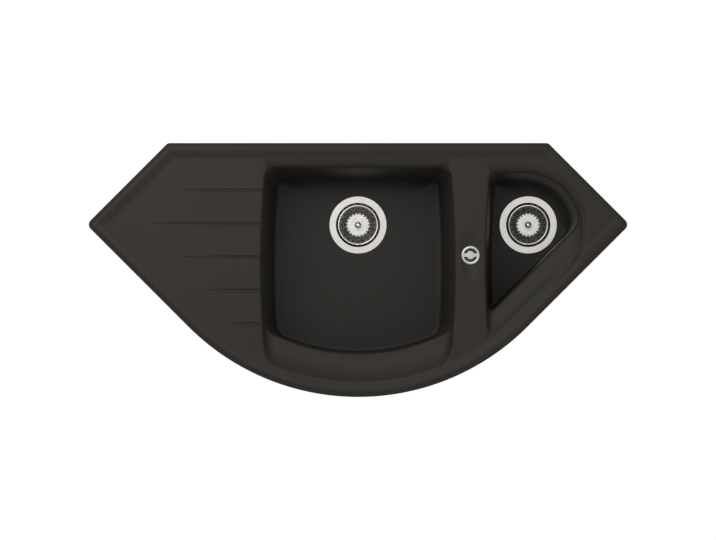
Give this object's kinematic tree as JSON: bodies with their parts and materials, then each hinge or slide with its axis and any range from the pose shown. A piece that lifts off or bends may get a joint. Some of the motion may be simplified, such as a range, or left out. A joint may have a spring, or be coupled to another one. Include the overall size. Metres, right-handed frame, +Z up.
{
  "type": "kitchen sink",
  "caption": "Corner inset kitchen sink: ribbed drainer, main bowl, small bowl, strainer wastes, rotary waste control, overflow and drain pipes.",
  "frame": {"origin": "underside of the rim, in the middle of the back edge's seat on the worktop", "axes": "+X along the back edge to the small bowl, +Y to the back, +Z up"},
  "size_m": [1.06, 0.4999, 0.3025],
  "materials": {
    "composite": "matt near-black mineral composite with a fine sparkle",
    "black_rubber": "soft matt rubber",
    "brass": "plain turned brass",
    "zinc_steel": "zinc plated, satin",
    "stainless_steel": "fine circular brushing, polished lips",
    "chrome": "polished chrome",
    "chromed_plastic": "chromed moulded plastic",
    "black_plastic": "moulded, fine satin",
    "white_plastic": "moulded, fine satin",
    "pale_plastic": "moulded acetal",
    "cable_sheath": "extruded sheath",
    "dark_plastic": "moulded"
  },
  "bodies": {
    "sink": {"branch_pipe": "white_plastic", "branch_small_nut": "white_plastic", "branch_small_seal": "black_rubber", "branch_tee_nut": "white_plastic", "branch_tee_seal": "black_rubber", "cable_ferrules": "dark_plastic", "clip_brackets": "zinc_steel", "clip_inserts": "brass", "clip_screws": "zinc_steel", "control_base": "chromed_plastic", "control_gasket": "black_rubber", "crank_cover": "black_plastic", "crank_cover_screws": "zinc_steel", "drain_tee": "black_plastic", "housing_gasket": "black_rubber", "lever_axle": "zinc_steel", "lever_housing": "black_plastic", "lever_housing_screws": "zinc_steel", "main_body_gasket": "black_rubber", "main_clamp_screw": "zinc_steel", "main_flange_gasket": "black_rubber", "main_outlet_nut": "white_plastic", "main_outlet_seal": "black_rubber", "main_strainer_cup": "stainless_steel", "main_waste_body": "black_plastic", "overflow_bottom_nut": "white_plastic", "overflow_bottom_seal": "black_rubber", "overflow_grille": "stainless_steel", "overflow_housing": "black_plastic", "overflow_pipe": "white_plastic", "overflow_top_nut": "white_plastic", "overflow_top_seal": "black_rubber", "release_cable": "cable_sheath", "rim_seal": "black_rubber", "sink_body": "composite", "small_body_gasket": "black_rubber", "small_clamp_screw": "zinc_steel", "small_flange_gasket": "black_rubber", "small_strainer_cup": "stainless_steel", "small_waste_body": "black_plastic"},
    "control": {"control_knob": "chrome", "control_spindle": "zinc_steel", "cable_crank": "pale_plastic"},
    "lifter": {"lifter_pin": "zinc_steel"},
    "lever": {"lift_lever": "pale_plastic"},
    "main_strainer": {"main_basket": "stainless_steel", "main_basket_seal": "black_rubber", "main_basket_stem": "chrome", "main_basket_knob": "chrome"},
    "small_strainer": {"small_basket": "stainless_steel", "small_basket_seal": "black_rubber", "small_basket_stem": "chrome", "small_basket_knob": "chrome"}
  },
  "joints": [
    {"name": "control_turn", "type": "hinge", "parent": "sink", "child": "control", "pos_m": [0.2215, -0.2082, 0], "axis": [0, 0, -1], "range_deg": [0, 90]},
    {"name": "lifter_slide", "type": "slide", "parent": "sink", "child": "lifter", "axis": [0, 0, 1], "range_m": [0, 0.008]},
    {"name": "lever_turn", "type": "hinge", "parent": "sink", "child": "lever", "pos_m": [0, -0.1263, -0.2685], "axis": [-1, 0, 0], "range_deg": [0, 20.96]},
    {"name": "main_strainer_lift", "type": "slide", "parent": "lifter", "child": "main_strainer", "axis": [0, 0, 1], "range_m": [0, 0.21]},
    {"name": "small_strainer_lift", "type": "slide", "parent": "sink", "child": "small_strainer", "axis": [0, 0, 1], "range_m": [0, 0.16]}
  ],
  "couplings": [
    {"joint": "control_turn", "follows": "lifter_slide", "rad_per_m": 196.35},
    {"joint": "lever_turn", "follows": "lifter_slide", "rad_per_m": 45.708}
  ]
}
